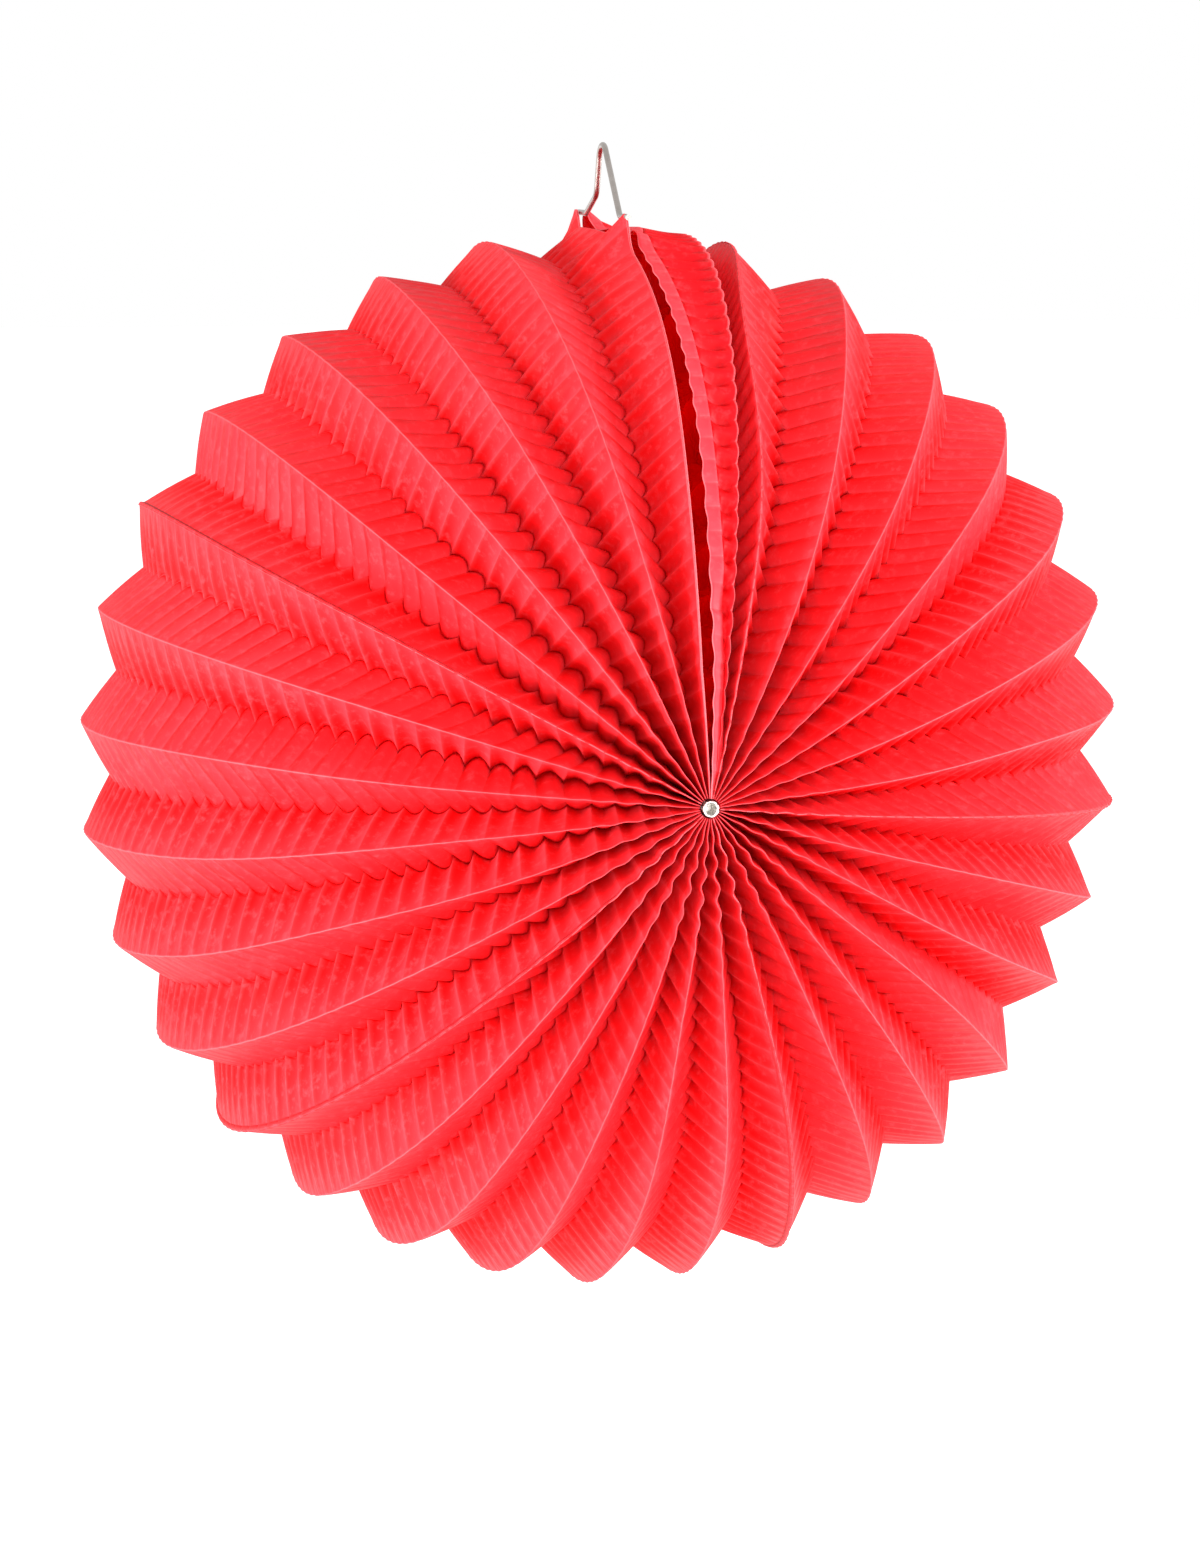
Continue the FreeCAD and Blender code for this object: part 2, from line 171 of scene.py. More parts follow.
def hub_wobble(longitude, travel, number):
    """Close to a hub the crowded folds run in short waves about 6 mm long, most of all underneath."""
    out = RIDGE_RADIUS * sin(travel)
    low = 0.2 + 0.8 * hump(longitude, pi, radians(60))
    most = min(0.00055, 0.04 * out) * low * hump(out, 0.016, 0.014)
    return most * sin(travel * RIDGE_RADIUS / 0.00095 + number * 0.9 + 2 * sin(number * 1.7))


def inner_fold_point(row, number, longitude, half_pitch):
    """A point of an inner fold, and the shifts of its sharp lobe and of its soft wave."""
    fold = FOLDS[number]
    travel = row_travel(row, fold)
    radius = ball_radius(longitude, travel) - fold_depth(travel, half_pitch)
    turned = drawn(longitude, travel)
    lobe = min(row // len(LOBE_ROWS), LOBES)
    slow = 0.85 + 0.25 * sin(fold["swell"][0] * travel * 2 + fold["swell"][1])
    size = fold["lean"] * fold["heights"][lobe] * slow * crowding(travel, 0.045)
    out = on_ball(1.0, travel, turned) - BALL_MIDDLE
    push = size * (LOBE_PUSH * sideways(turned) + 0.0012 * fold["lift"] * out)
    sharp, soft = lobe_arch(row)
    point = on_ball(radius, travel, turned) + hub_wobble(longitude, travel, number + 0.5) * sideways(turned)
    return point, push * sharp, push * soft


def ridge_point(row, number, longitude):
    """A point of an outer ridge, which is nearly smooth and strays a little."""
    chance = random.Random(100 + number)
    travel = row_travel(row)
    room = crowding(travel, 0.05)
    stray = sum(0.00025 * sin((n + 1) * travel * chance.uniform(1.0, 2.2) + chance.uniform(0, 6.28))
                for n in range(4))
    rise = sum(0.0002 * sin((n + 1) * travel * chance.uniform(1.0, 2.0) + chance.uniform(0, 6.28))
               for n in range(3))
    turned = drawn(longitude, travel)
    radius = ball_radius(longitude, travel) + rise * room + 0.00008 * lobe_arch(row)[1] * room
    across = stray * room + hub_wobble(longitude, travel, number)
    return on_ball(radius, travel, turned) + across * sideways(turned)


def panel_point(ridge, fold, sharp, soft, share, swell=0.0003):
    """A point of the panel between a ridge and an inner fold, its lobes fading towards the ridge."""
    flat = ridge.lerp(fold, share)
    proud = (flat - BALL_MIDDLE).normalized() * swell * sin(pi * min(1.0, max(0.0, share)))
    lobes = sharp.lerp(soft, 1 - share ** 2) * share ** 0.9 if share > 0 else Vector((0.0, 0.0, 0.0))
    return flat + proud + lobes


def fold_sheet(name, columns, point):
    """A flat sheet in columns across and rows along, folded to its shape and given a thickness."""
    bpy.ops.object.select_all(action="DESELECT")
    bpy.ops.mesh.primitive_grid_add(x_subdivisions=columns, y_subdivisions=ROWS, size=2.0,
                                    calc_uvs=True, location=(0, 0, 0))
    sheet = bpy.context.object
    sheet.name = sheet.data.name = name
    for vertex in sheet.data.vertices:
        column = round((vertex.co.x + 1) * columns / 2)
        row = round((vertex.co.y + 1) * ROWS / 2)
        vertex.co = point(column, row)
    wall = sheet.modifiers.new("paper", "SOLIDIFY")
    wall.thickness = PAPER_THICKNESS
    wall.offset = 0.0
    wall.use_even_offset = False
    bpy.ops.object.modifier_apply(modifier="paper")
    bpy.ops.object.shade_smooth()
    sheet.data.materials.clear()
    return sheet


def linear(colour):
    """A colour in sRGB hex as linear red, green, blue and alpha."""
    parts = [int(colour[i:i + 2], 16) / 255 for i in (1, 3, 5)]
    return [p / 12.92 if p <= 0.04045 else ((p + 0.055) / 1.055) ** 2.4 for p in parts] + [1.0]


def add_node(tree, kind, settings=None, links=None):
    """A shader node with its properties, its socket values and what its inputs are linked to."""
    node = tree.nodes.new(kind)
    for key, value in (settings or {}).items():
        if isinstance(key, str) and hasattr(node, key):
            setattr(node, key, value)
        else:
            node.inputs[key].default_value = value
    for key, source in (links or {}).items():
        tree.links.new(source, node.inputs[key])
    return node


def pleated_paper(name, colours, fold_wear_and_highlight_colour, highlight_and_fleck_colour, ridge_at=0.5, inner_line=0.6):
    """Dyed machine-glazed paper, matt, with fine fibres, pale lines at the folds that are partly wear and
    partly painted highlight, painted highlight streaks at the nicks, and painted shade in deep red on one
    flank of each lobe and towards the inner folds.
    """
    paper = bpy.data.materials.new(name)
    paper.use_nodes = True
    tree = paper.node_tree
    tree.nodes.clear()
    where = add_node(tree, "ShaderNodeTexCoord")
    # fibres about 0.7 mm long and a soft cloudiness of about 12 mm in the dye
    fibres = add_node(tree, "ShaderNodeTexNoise", {"Scale": 1400.0, "Detail": 3.0, "Roughness": 0.6},
                      {"Vector": where.outputs["Object"]})
    clouds = add_node(tree, "ShaderNodeTexNoise", {"Scale": 80.0, "Detail": 2.0},
                      {"Vector": where.outputs["Object"]})
    place = add_node(tree, "ShaderNodeSeparateXYZ", {}, {"Vector": where.outputs["UV"]})
    # how far down the panel from the ridge, which is at 0, to the inner fold at 1
    down = add_node(tree, "ShaderNodeMath", {"operation": "SUBTRACT", 1: ridge_at}, {0: place.outputs["X"]})
    down = add_node(tree, "ShaderNodeMath", {"operation": "ABSOLUTE"}, {0: down.outputs[0]})
    down = add_node(tree, "ShaderNodeMath", {"operation": "DIVIDE", 1: 1 - ridge_at}, {0: down.outputs[0]})
    # the rubbed line of a ridge fold, partly wear and partly a painted highlight, fading out within half a
    # millimetre
    ridge_wear_and_highlight = add_node(tree, "ShaderNodeMapRange", {"From Min": 0.004, "From Max": 0.09,
                                                 "To Min": 0.7, "To Max": 0.0}, {"Value": down.outputs[0]})
    # a pale line painted along the inner fold as a highlight over the shade there
    inner = add_node(tree, "ShaderNodeMapRange", {"From Min": 0.955, "From Max": 1.0,
                                                  "To Min": 0.0, "To Max": inner_line},
                     {"Value": down.outputs[0]})
    # a painted highlight streak at the nick between two lobes, pale from the inner fold up to the ridge
    lobes = add_node(tree, "ShaderNodeMath", {"operation": "MULTIPLY", 1: float(LOBES)},
                     {0: place.outputs["Y"]})
    lobes = add_node(tree, "ShaderNodeMath", {"operation": "PINGPONG", 1: 0.5}, {0: lobes.outputs[0]})
    nick = add_node(tree, "ShaderNodeMapRange", {"From Min": 0.0, "From Max": 0.25,
                                                 "To Min": 0.5, "To Max": 0.0},
                    {"Value": lobes.outputs[0]})
    nick = add_node(tree, "ShaderNodeMath", {"operation": "MULTIPLY"},
                    {0: nick.outputs[0], 1: down.outputs[0]})
    # painted light and shade: one flank of each lobe keeps the sheet's paler red as its lit side, and the
    # other is painted deep red as its shaded side, and more so the nearer it is to the inner fold, where the
    # painted shade is strongest
    lobe_light_and_shade = add_node(tree, "ShaderNodeMath", {"operation": "MULTIPLY", 1: float(LOBES)},
                     {0: place.outputs["Y"]})
    lobe_light_and_shade = add_node(tree, "ShaderNodeMath", {"operation": "FRACT"}, {0: lobe_light_and_shade.outputs[0]})
    lobe_light_and_shade = add_node(tree, "ShaderNodeMapRange", {"From Min": 0.2, "From Max": 0.85,
                                                  "To Min": 0.0, "To Max": 1.0}, {"Value": lobe_light_and_shade.outputs[0]})
    # deep red painted as shade, strongest near the inner fold and on the shaded flank of each lobe
    deep = add_node(tree, "ShaderNodeMapRange", {"From Max": 0.7, "To Min": 0.35, "To Max": 1.0},
                    {"Value": down.outputs[0]})
    deep = add_node(tree, "ShaderNodeMath", {"operation": "MULTIPLY"},
                    {0: deep.outputs[0], 1: lobe_light_and_shade.outputs[0]})
    base = add_node(tree, "ShaderNodeMix", {"data_type": "RGBA", 6: linear(colours[0]),
                                            7: linear(colours[1])}, {0: clouds.outputs["Fac"]})
    base = add_node(tree, "ShaderNodeMix", {"data_type": "RGBA", 7: linear(colours[2])},
                    {0: deep.outputs[0], 6: base.outputs[2]})
    # pale flecks of longer fibre that took less dye
    flecks = add_node(tree, "ShaderNodeTexNoise", {"Scale": 420.0, "Detail": 4.0, "Roughness": 0.7},
                      {"Vector": where.outputs["Object"]})
    flecks = add_node(tree, "ShaderNodeMapRange", {"From Min": 0.52, "From Max": 0.75,
                                                   "To Min": 0.0, "To Max": 0.5},
                      {"Value": flecks.outputs["Fac"]})
    for share, colour in ((flecks, highlight_and_fleck_colour), (nick, highlight_and_fleck_colour), (ridge_wear_and_highlight, fold_wear_and_highlight_colour),
                          (inner, fold_wear_and_highlight_colour)):
        base = add_node(tree, "ShaderNodeMix", {"data_type": "RGBA", 7: linear(colour)},
                        {0: share.outputs[0], 6: base.outputs[2]})
    grain = add_node(tree, "ShaderNodeBump", {"Strength": 0.3, "Distance": 0.00008},
                     {"Height": fibres.outputs["Fac"]})
    # small creases between the modelled ones, about 2 mm apart and a tenth of a millimetre high
    turn = add_node(tree, "ShaderNodeMath", {"operation": "MULTIPLY", 1: 2 * pi * LOBES * 3},
                    {0: place.outputs["Y"]})
    creases = add_node(tree, "ShaderNodeMath", {"operation": "SINE"}, {0: turn.outputs[0]})
    creases = add_node(tree, "ShaderNodeMath", {"operation": "MULTIPLY"},
                       {0: creases.outputs[0], 1: clouds.outputs["Fac"]})
    grain = add_node(tree, "ShaderNodeBump", {"Strength": 0.5, "Distance": 0.00012},
                     {"Height": creases.outputs[0], "Normal": grain.outputs[0]})
    rough = add_node(tree, "ShaderNodeMapRange", {"To Min": 0.42, "To Max": 0.58},
                     {"Value": fibres.outputs["Fac"]})
    surface = add_node(tree, "ShaderNodeBsdfPrincipled", {"IOR": 1.5, "Specular IOR Level": 0.12},
                       {"Base Color": base.outputs[2], "Roughness": rough.outputs[0],
                        "Normal": grain.outputs[0]})
    # thin paper lets some of the light through, a deep red
    glow = add_node(tree, "ShaderNodeBsdfTranslucent", {"Color": linear("#FF1018")})
    thin = add_node(tree, "ShaderNodeMixShader", {0: 0.3}, {1: surface.outputs[0], 2: glow.outputs[0]})
    add_node(tree, "ShaderNodeOutputMaterial", {}, {"Surface": thin.outputs[0]})
    return paper


red_tissue = pleated_paper("red_machine_glazed_paper", RED_DYES_AND_PAINTED_SHADE, FOLD_WEAR_AND_HIGHLIGHT_RED, NICK_HIGHLIGHT_AND_FLECK_RED)

pleat_names = [f"sheet_{s + 1}_pleat_{p + 1}" for s, count in enumerate(PLEATS_OF_SHEETS)
               for p in range(count)]
for number, node_name in enumerate(pleat_names):
    ridge_longitude = ridge_angle(number)
    left_half = (ridge_longitude - ridge_angle(number - 1)) / 2 if number else END_HALF_PITCH
    right_half = (ridge_angle(number + 1) - ridge_longitude) / 2

    def pleat_point(column, row):
        side = 1 if column > HALF_PLEAT_COLUMNS else -1
        half = right_half if side > 0 else left_half
        ridge = ridge_point(row, number, ridge_longitude)
        fold, sharp, soft = inner_fold_point(row, number + (side > 0), ridge_longitude + side * half, half)
        return panel_point(ridge, fold, sharp, soft, COLUMN_SHARES[abs(column - HALF_PLEAT_COLUMNS)])

    pleat = fold_sheet(f"paper_{node_name}", 2 * HALF_PLEAT_COLUMNS, pleat_point)
    pleat.data.materials.append(red_tissue)
    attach(pleat, node_name)
    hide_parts(node_name)
    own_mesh(pleat)


# ---- Glued seams ----
# Where one sheet is pasted to the next, the two cut edges lie together along a ridge.
# The outer edge stands a little proud, with a dark strip painted under it as its shadow, and a slightly
# ragged rim.
SEAM_RIDGES = (0, 7, 13, 19, 25)
LAP_COLUMNS = 5                              # four of paper, and one painted dark as the shadow under its edge
LAP_START, LAP_STEP = -0.008, 0.014          # as shares of a panel's width, from the ridge
SHADOW_STRIP_START, SHADOW_STRIP_WIDTH = 0.048, 0.024
LAP_LIFT, LIFT_STEP, SHADOW_STRIP_LIFT = 0.0002, 0.0001, 0.00005
# a dark red painted as the shadow under each lap's proud edge
seam_shadow_paint = bpy.data.materials.new("painted_shadow_under_seam_edge")
seam_shadow_paint.use_nodes = True
seam_shadow_paint.node_tree.nodes["Principled BSDF"].inputs["Base Color"].default_value = linear("#B00012")
seam_shadow_paint.node_tree.nodes["Principled BSDF"].inputs["Roughness"].default_value = 0.7
for number in SEAM_RIDGES:
    ridge_longitude = ridge_angle(number)
    right_half = (ridge_angle(number + 1) - ridge_longitude) / 2

    def lap_point(column, row):
        ridge = ridge_point(row, number, ridge_longitude)
        fold, sharp, soft = inner_fold_point(row, number + 1, ridge_longitude + right_half, right_half)
        travel = row_travel(row)
        in_shadow_strip = column == LAP_COLUMNS
        ragged = 0.012 * lobe_arch(row)[0] * (column >= LAP_COLUMNS - 1)
        share = SHADOW_STRIP_START + SHADOW_STRIP_WIDTH * crowding(travel) if in_shadow_strip else LAP_START + LAP_STEP * column
        on_panel = panel_point(ridge, fold, sharp, soft, share + ragged)
        lift = SHADOW_STRIP_LIFT if in_shadow_strip else (LAP_LIFT + LIFT_STEP * column) * crowding(travel)
        return on_panel + (on_panel - BALL_MIDDLE).normalized() * lift

    lap = fold_sheet(f"glued_lap_{number}", LAP_COLUMNS, lap_point)
    lap.data.materials.append(red_tissue)
    lap.data.materials.append(seam_shadow_paint)
    # the last column of each lap is the dark strip painted as shadow
    for face in lap.data.polygons:
        face.material_index = int(face.index % LAP_COLUMNS == LAP_COLUMNS - 1)
    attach(lap, pleat_names[number])
    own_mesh(lap)


# ---- Left lip of the slit ----
# The last half pleat ends in a lip beside the slit, with its cut edge turned in as a narrow hem.
# Two ears rise from the lip, where the feet of the wire loop go through.
FOOT_GAP = 0.002
SLIT_GAPE, MOUTH_GAPE = 0.0014, 0.008
EAR_TRAVEL = radians(12.47)
EAR_PLACE, EAR_RISE, EAR_SPREAD = 0.027, 0.00689, 0.005
HEM_WIDTH = 0.0032
LIP_ANGLE = radians(0.6417)
SLIT_LEAN = 0.0022


def lip_gap(travel):
    """The opening of the slit: two narrow ends and a wider mouth between the ears."""
    ears = (HUB_TRAVEL, pi / 2 - EAR_TRAVEL, pi / 2 + EAR_TRAVEL, pi - HUB_TRAVEL)
    span = min(2, sum(travel > ear for ear in ears[1:3]))
    share = (travel - ears[span]) / (ears[span + 1] - ears[span])
    gape = MOUTH_GAPE if span == 1 else SLIT_GAPE
    return (FOOT_GAP + gape * sin(pi * share) ** 2) * crowding(travel)


def ear_rise(travel):
    away = (abs(RIDGE_RADIUS * cos(travel)) - EAR_PLACE) / EAR_SPREAD
    return EAR_RISE * exp(-away ** 2)


def beside_slit(radius, travel, across):
    """A point next to the slit, which leans a little to the right in front."""
    lean = SLIT_LEAN * hump(travel, radians(55), radians(28))
    return BALL_MIDDLE + Vector((across + lean, -radius * cos(travel), radius * sin(travel)))


def left_lip_point(column, row):
    travel = row_travel(row)
    share = COLUMN_SHARES[column]
    lip = beside_slit(RIDGE_RADIUS, travel, -lip_gap(travel) / 2 - 0.0004 * crowding(travel))
    fold, sharp, soft = inner_fold_point(row, 30, valley_longitude, lip_half)
    panel = panel_point(lip, fold, sharp, soft, share)
    # the front ear is a broad fold, the rear one is pinched narrow
    pinch = 1 - share if travel < pi / 2 else max(0.0, 1 - share / 0.45) ** 2
    return panel + ear_rise(travel) * pinch * (lip - BALL_MIDDLE).normalized()


lip_half = (2 * pi - LIP_ANGLE - ridge_angle(29)) / 2
valley_longitude = -LIP_ANGLE - lip_half
left_lip_paper = pleated_paper("red_paper_of_left_lip", RED_DYES_AND_PAINTED_SHADE, FOLD_WEAR_AND_HIGHLIGHT_RED, NICK_HIGHLIGHT_AND_FLECK_RED, 0.0)
left_lip = fold_sheet("paper_left_lip", 8, left_lip_point)
left_lip.data.materials.append(left_lip_paper)
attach(left_lip, "fixed_end")
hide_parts("fixed_end_half_pleat")
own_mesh(left_lip)


def left_hem_point(column, row):
    travel = row_travel(row)
    deep = HEM_WIDTH * column / 4 + 0.0004 * lobe_arch(row)[1] * (column == 4) * crowding(travel)
    radius = RIDGE_RADIUS + ear_rise(travel) - deep
    return beside_slit(radius, travel, -lip_gap(travel) / 2 - 0.00015 * crowding(travel))


left_hem = fold_sheet("paper_left_hem", 4, left_hem_point)
# the hems are painted a paler, pinker red than the sheet, with paler folds, as the light falling on the hem
# strips that face the front
lit_hem_paper = pleated_paper("red_paper_doubled_hem_painted_lighter", ("#FA404C", "#FD4C58", "#F83844"), "#FF8A92",
                          "#FF6A72", 0.0, 0.0)
left_hem.data.materials.append(lit_hem_paper)
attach(left_hem, "fixed_end")
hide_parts("fixed_end_hem")
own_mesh(left_hem)


# ---- Right end of the paper ----
# The free end of the first sheet: a doubled hem beside the slit, a strongly gathered panel behind it,
# and one narrow end pleat that lies close against the first full pleat.
END_COLUMNS, END_RIDGE_COLUMN = 16, 10


def hem_edges(travel):
    """The hem's edge at the slit and its edge on the panel, each as a radius and a place across."""
    start = lip_gap(travel) / 2
    out = RIDGE_RADIUS * sin(travel)
    room = out * sin(END_RIDGE) - start
    across = min(HEM_WIDTH, max(0.5 * room, min(0.0026, 0.3 * out)))
    drop = sqrt(HEM_WIDTH ** 2 - across ** 2)
    # in front the ear on this side is folded down behind the other
    rise = ear_rise(travel) * (0.4 if travel < pi / 2 else 1.0)
    radius = RIDGE_RADIUS + rise + 0.0006 * (across > 0.5 * room)
    return (radius, start), (radius - drop - 0.4 * rise, start + across)


def right_hem_point(column, row):
    travel = row_travel(row)
    (near, start), (far, end) = hem_edges(travel)
    share = column / 4
    ragged = 0.00022 * sin(travel * RIDGE_RADIUS / 0.0011 + 2.5 * sin(travel * 7))
    ragged *= (1 - share) * crowding(travel)
    return beside_slit(near + (far - near) * share, travel, start + (end - start) * share + ragged)


right_hem = fold_sheet("paper_right_hem", 4, right_hem_point)
right_hem.data.materials.append(lit_hem_paper)
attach(right_hem, "free_end")
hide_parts("free_end_hem")
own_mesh(right_hem)


def end_pleat_point(column, row):
    travel = row_travel(row)
    sharp, soft = lobe_arch(row)
    ridge = ridge_point(row, 40, END_RIDGE) + 0.0003 * sharp * crowding(travel, 0.05) * sideways(END_RIDGE)
    if column >= END_RIDGE_COLUMN:
        fold, *lobes = inner_fold_point(row, 0, END_RIDGE + END_HALF_PITCH, END_HALF_PITCH)
        return panel_point(ridge, fold, *lobes, (column - END_RIDGE_COLUMN) / 6, 0.0)
    far, end = hem_edges(travel)[1]
    room = ridge.x - beside_slit(far, travel, 0.0).x
    hem = beside_slit(min(far, RIDGE_RADIUS + ear_rise(travel)) - 0.0004, travel,
                      min(end, 0.6 * room) + 0.0001)
    share = column / END_RIDGE_COLUMN
    gather = 0.0011 * soft * sin(pi * min(1.0, share * 0.9 + 0.1)) * crowding(travel, 0.05)
    return hem.lerp(ridge, share) + (gather - 0.0012 * sin(pi * share) * crowding(travel)) * (
        ridge - BALL_MIDDLE).normalized()


# the right end is painted a deeper red than the rest of the same sheet, as the shade on its crinkled panel
shaded_end_paper = pleated_paper("red_paper_of_right_end_painted_darker", ("#EC1420", "#F21E2A", "#E00008"), "#FF7A82", "#FF4A54",
                          END_RIDGE_COLUMN / END_COLUMNS, 0.0)
end_pleat = fold_sheet("paper_right_end", END_COLUMNS, end_pleat_point)
end_pleat.data.materials.append(shaded_end_paper)
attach(end_pleat, "free_end")
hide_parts("free_end_pleat")
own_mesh(end_pleat)


# ---- Wire loop ----
# Bright drawn steel wire, bent cold into the loop that the lantern hangs from. The two feet go
# through the paper ears. Drawing leaves fine streaks along the wire and a slightly grey shine.
drawn_steel = bpy.data.materials.new("drawn_steel_wire")
drawn_steel.use_nodes = True
tree = drawn_steel.node_tree
tree.nodes.clear()
where = add_node(tree, "ShaderNodeTexCoord")
# die streaks about 0.15 mm apart, drawn out along the legs
stretch = add_node(tree, "ShaderNodeMapping", {"Scale": (1.0, 0.25, 0.12)},
                   {"Vector": where.outputs["Object"]})
streaks = add_node(tree, "ShaderNodeTexNoise", {"Scale": 6500.0, "Detail": 2.0},
                   {"Vector": stretch.outputs[0]})
tarnish = add_node(tree, "ShaderNodeTexNoise", {"Scale": 300.0, "Detail": 3.0},
                   {"Vector": where.outputs["Object"]})
tone = add_node(tree, "ShaderNodeMix", {"data_type": "RGBA", 6: linear("#A39A94"), 7: linear("#CFC8C2")},
                {0: tarnish.outputs["Fac"]})
rough = add_node(tree, "ShaderNodeMapRange", {"To Min": 0.2, "To Max": 0.42},
                 {"Value": streaks.outputs["Fac"]})
grain = add_node(tree, "ShaderNodeBump", {"Strength": 0.3, "Distance": 0.00002},
                 {"Height": streaks.outputs["Fac"]})
surface = add_node(tree, "ShaderNodeBsdfPrincipled", {"Metallic": 1.0},
                   {"Base Color": tone.outputs[2], "Roughness": rough.outputs[0], "Normal": grain.outputs[0]})
add_node(tree, "ShaderNodeOutputMaterial", {}, {"Surface": surface.outputs[0]})
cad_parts["wire_bail"].material_slots[0].material = drawn_steel


# ---- Hub eyelets ----
# Small nickel-plated eyelets that draw the pleats together at each hub. Each is a short tube, closed
# by a dish, whose outer end is split into petals and crimped down unevenly.
plated = bpy.data.materials.new("nickel_plated_brass")
plated.use_nodes = True
tree = plated.node_tree
tree.nodes.clear()
where = add_node(tree, "ShaderNodeTexCoord")
dull = add_node(tree, "ShaderNodeTexNoise", {"Scale": 900.0, "Detail": 3.0},
                {"Vector": where.outputs["Object"]})
rough = add_node(tree, "ShaderNodeMapRange", {"To Min": 0.3, "To Max": 0.45},
                 {"Value": dull.outputs["Fac"]})
tone = add_node(tree, "ShaderNodeMix", {"data_type": "RGBA", 6: linear("#D8D4CE"), 7: linear("#F4F1EC")},
                {0: dull.outputs["Fac"]})
surface = add_node(tree, "ShaderNodeBsdfPrincipled", {"Metallic": 1.0},
                   {"Base Color": tone.outputs[2], "Roughness": rough.outputs[0]})
add_node(tree, "ShaderNodeOutputMaterial", {}, {"Surface": surface.outputs[0]})
HUB_PLACE = 0.1254                           # from the ball's middle to the top of the tube
EYELET_RADIUS, EYELET_LENGTH = 0.0013, 0.016
DISH_UP = 0.0108                             # how far the dish stands above the tube's inner end
PETAL_RADIUS = 0.0016                        # outside this the rim is split
RIM_RINGS = ((1.10, 0.00035), (1.15, 0.00015), (1.08, -0.00015), (1.02, -0.00025))
DISH_RINGS = ((0.8, -0.0002), (0.4, -0.0002), (0.02, -0.0001))
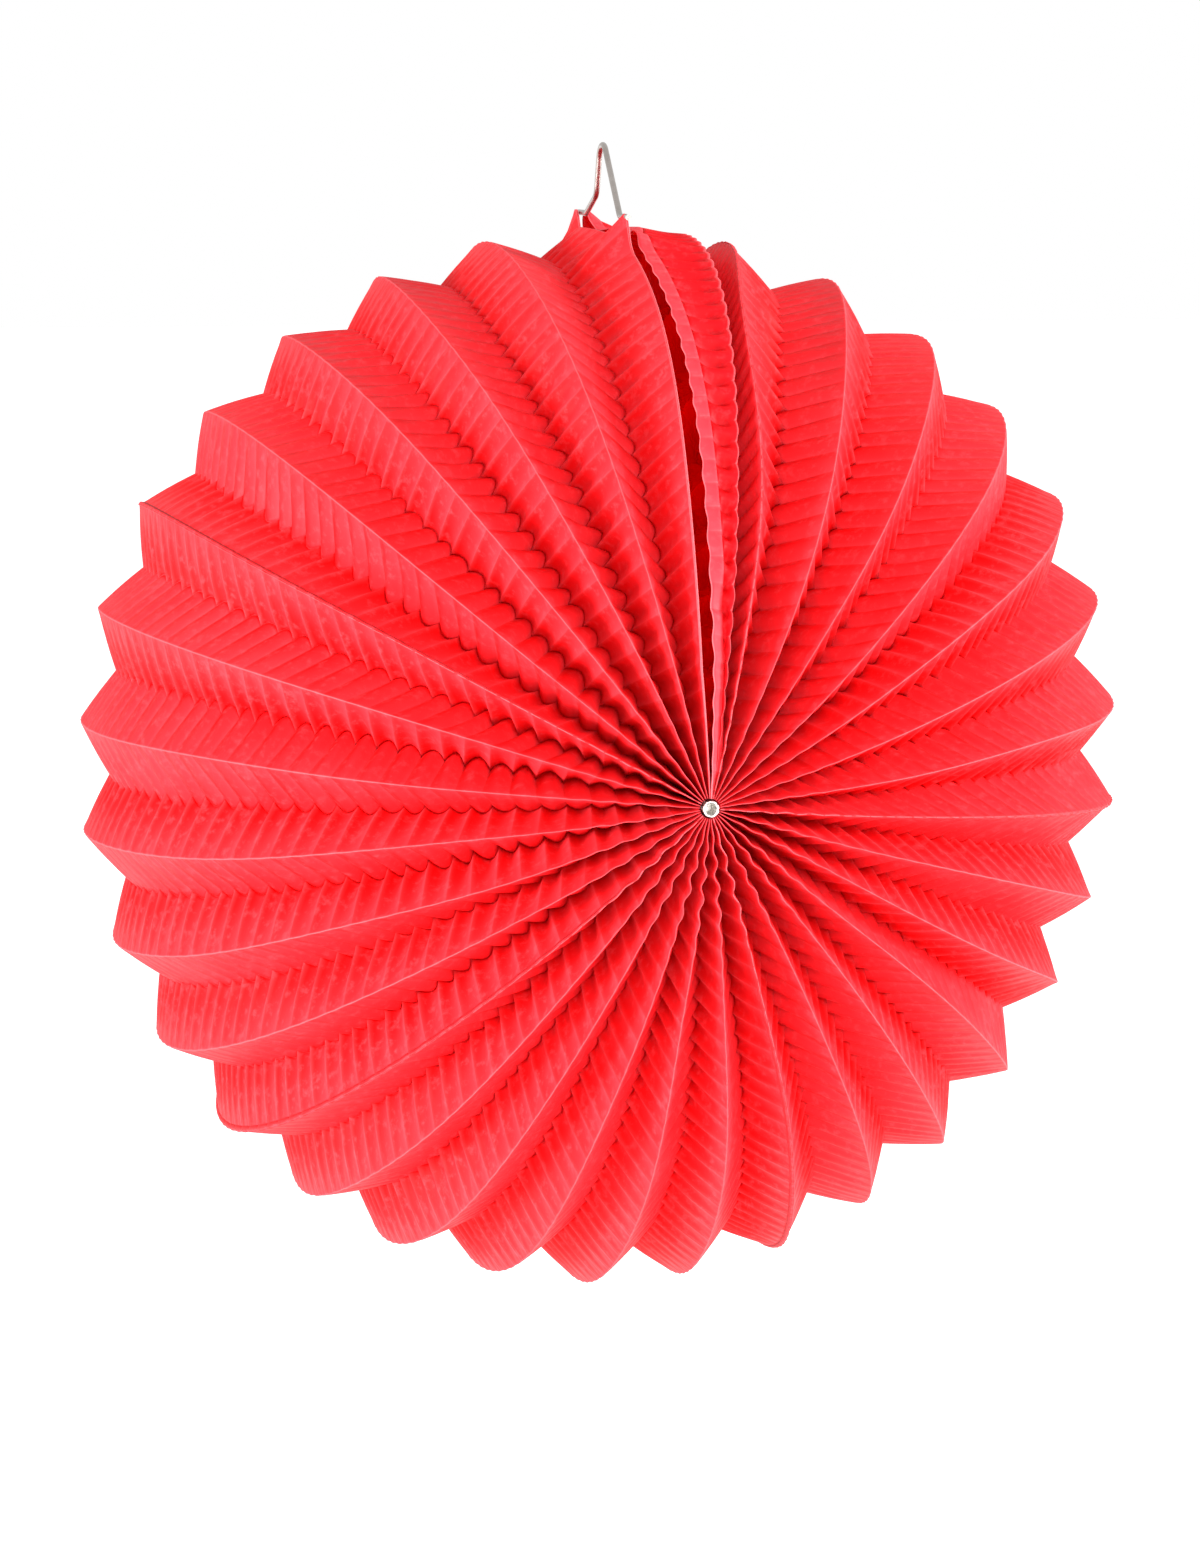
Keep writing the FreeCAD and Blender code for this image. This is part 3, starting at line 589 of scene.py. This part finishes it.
for hub, front in (("front_hub_eyelet", -1.0), ("rear_hub_eyelet", 1.0)):
    bpy.ops.object.select_all(action="DESELECT")
    bpy.ops.mesh.primitive_cylinder_add(vertices=56, radius=EYELET_RADIUS, depth=EYELET_LENGTH,
                                        end_fill_type="NOTHING", location=(0, 0, 0))
    eyelet = bpy.context.object
    eyelet.name = eyelet.data.name = "crimped_" + hub
    for end, rings in ((1, RIM_RINGS), (-1, DISH_RINGS)):
        for vertex in eyelet.data.vertices:
            vertex.select = abs(vertex.co.z - end * EYELET_LENGTH / 2) < 1e-6
        for edge in eyelet.data.edges:
            edge.select = all(eyelet.data.vertices[v].select for v in edge.vertices)
        bpy.ops.object.mode_set(mode="EDIT")
        if end < 0:
            bpy.ops.transform.translate(value=(0, 0, DISH_UP))
        for grow, up in rings:
            bpy.ops.mesh.extrude_edges_move(TRANSFORM_OT_translate={"value": (0, 0, up)})
            bpy.ops.transform.resize(value=(grow, grow, 1.0))
        if end < 0:
            bpy.ops.mesh.merge(type="CENTER")
        bpy.ops.object.mode_set(mode="OBJECT")
    bpy.ops.object.mode_set(mode="EDIT")
    bpy.ops.mesh.select_all(action="SELECT")
    bpy.ops.mesh.normals_make_consistent(inside=False)
    bpy.ops.object.mode_set(mode="OBJECT")
    for vertex in eyelet.data.vertices:
        out, turn = hypot(vertex.co.x, vertex.co.y), atan2(vertex.co.y, vertex.co.x)
        if out > PETAL_RADIUS:
            petal = abs(sin(3.5 * turn + 0.4 + 0.5 * sin(turn))) ** 0.5
            reach = (0.45 + 0.55 * petal) * (1 + 0.35 * sin(turn + 2))
            reach = (PETAL_RADIUS + (out - PETAL_RADIUS) * reach) / out
            vertex.co.x, vertex.co.y = vertex.co.x * reach, vertex.co.y * reach
            vertex.co.z -= 0.00025 * (1 - petal) + 0.00012 * sin(2 * turn + 1)
        vertex.co.z -= EYELET_LENGTH / 2
        vertex.co = Vector((vertex.co.x, front * (HUB_PLACE + vertex.co.z), vertex.co.y * -front)) \
            + BALL_MIDDLE
    metal = eyelet.modifiers.new("metal", "SOLIDIFY")
    metal.thickness = 0.00018
    metal.offset = 0.0
    bpy.ops.object.modifier_apply(modifier="metal")
    rounded = eyelet.modifiers.new("rounded", "SUBSURF")
    rounded.levels = rounded.render_levels = 1
    bpy.ops.object.modifier_apply(modifier="rounded")
    bpy.ops.object.shade_smooth()
    eyelet.data.materials.clear()
    eyelet.data.materials.append(plated)
    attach(eyelet, "fixed_end")
    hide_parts(hub)


# ---- Floor and light ----
# A pale floor well under the hanging lantern, a white surround that shows brighter than it lights,
# a large soft light on either side in front, and a weaker one from the front into the folds.
bpy.ops.object.select_all(action="DESELECT")
bpy.ops.mesh.primitive_plane_add(size=24.0, location=(0, 0, -0.5))
floor = bpy.context.object
floor.name = "pale_floor"
pale = bpy.data.materials.new("matt_white_floor")
pale.use_nodes = True
pale.node_tree.nodes["Principled BSDF"].inputs["Base Color"].default_value = linear("#FAFAFA")
pale.node_tree.nodes["Principled BSDF"].inputs["Roughness"].default_value = 0.9
pale.node_tree.nodes["Principled BSDF"].inputs["Emission Color"].default_value = linear("#FFFFFF")
pale.node_tree.nodes["Principled BSDF"].inputs["Emission Strength"].default_value = 0.5
floor.data.materials.append(pale)

world = bpy.data.worlds.new("white_surround")
world.use_nodes = True
world.node_tree.nodes["Background"].inputs["Color"].default_value = (1.0, 1.0, 1.0, 1.0)
seen = add_node(world.node_tree, "ShaderNodeLightPath")
strength = add_node(world.node_tree, "ShaderNodeMapRange", {"To Min": 0.75, "To Max": 1.0},
                    {"Value": seen.outputs["Is Camera Ray"]})
world.node_tree.links.new(strength.outputs[0], world.node_tree.nodes["Background"].inputs["Strength"])
bpy.context.scene.world = world
for name, place, size, power in (("left_softbox", (-1.5, -0.7, 0.0), 0.5, 36.0),
                                 ("right_softbox", (1.5, -0.6, 0.35), 0.5, 40.0),
                                 ("front_softbox", (0.0, -1.7, 0.5), 0.5, 13.0)):
    bpy.ops.object.light_add(type="AREA", location=Vector(place) + BALL_MIDDLE)
    light = bpy.context.object
    light.name = name
    light.data.size = size
    light.data.energy = power
    light.rotation_euler = Vector(place).to_track_quat("Z", "Y").to_euler()
bpy.context.scene.view_settings.view_transform = "Standard"
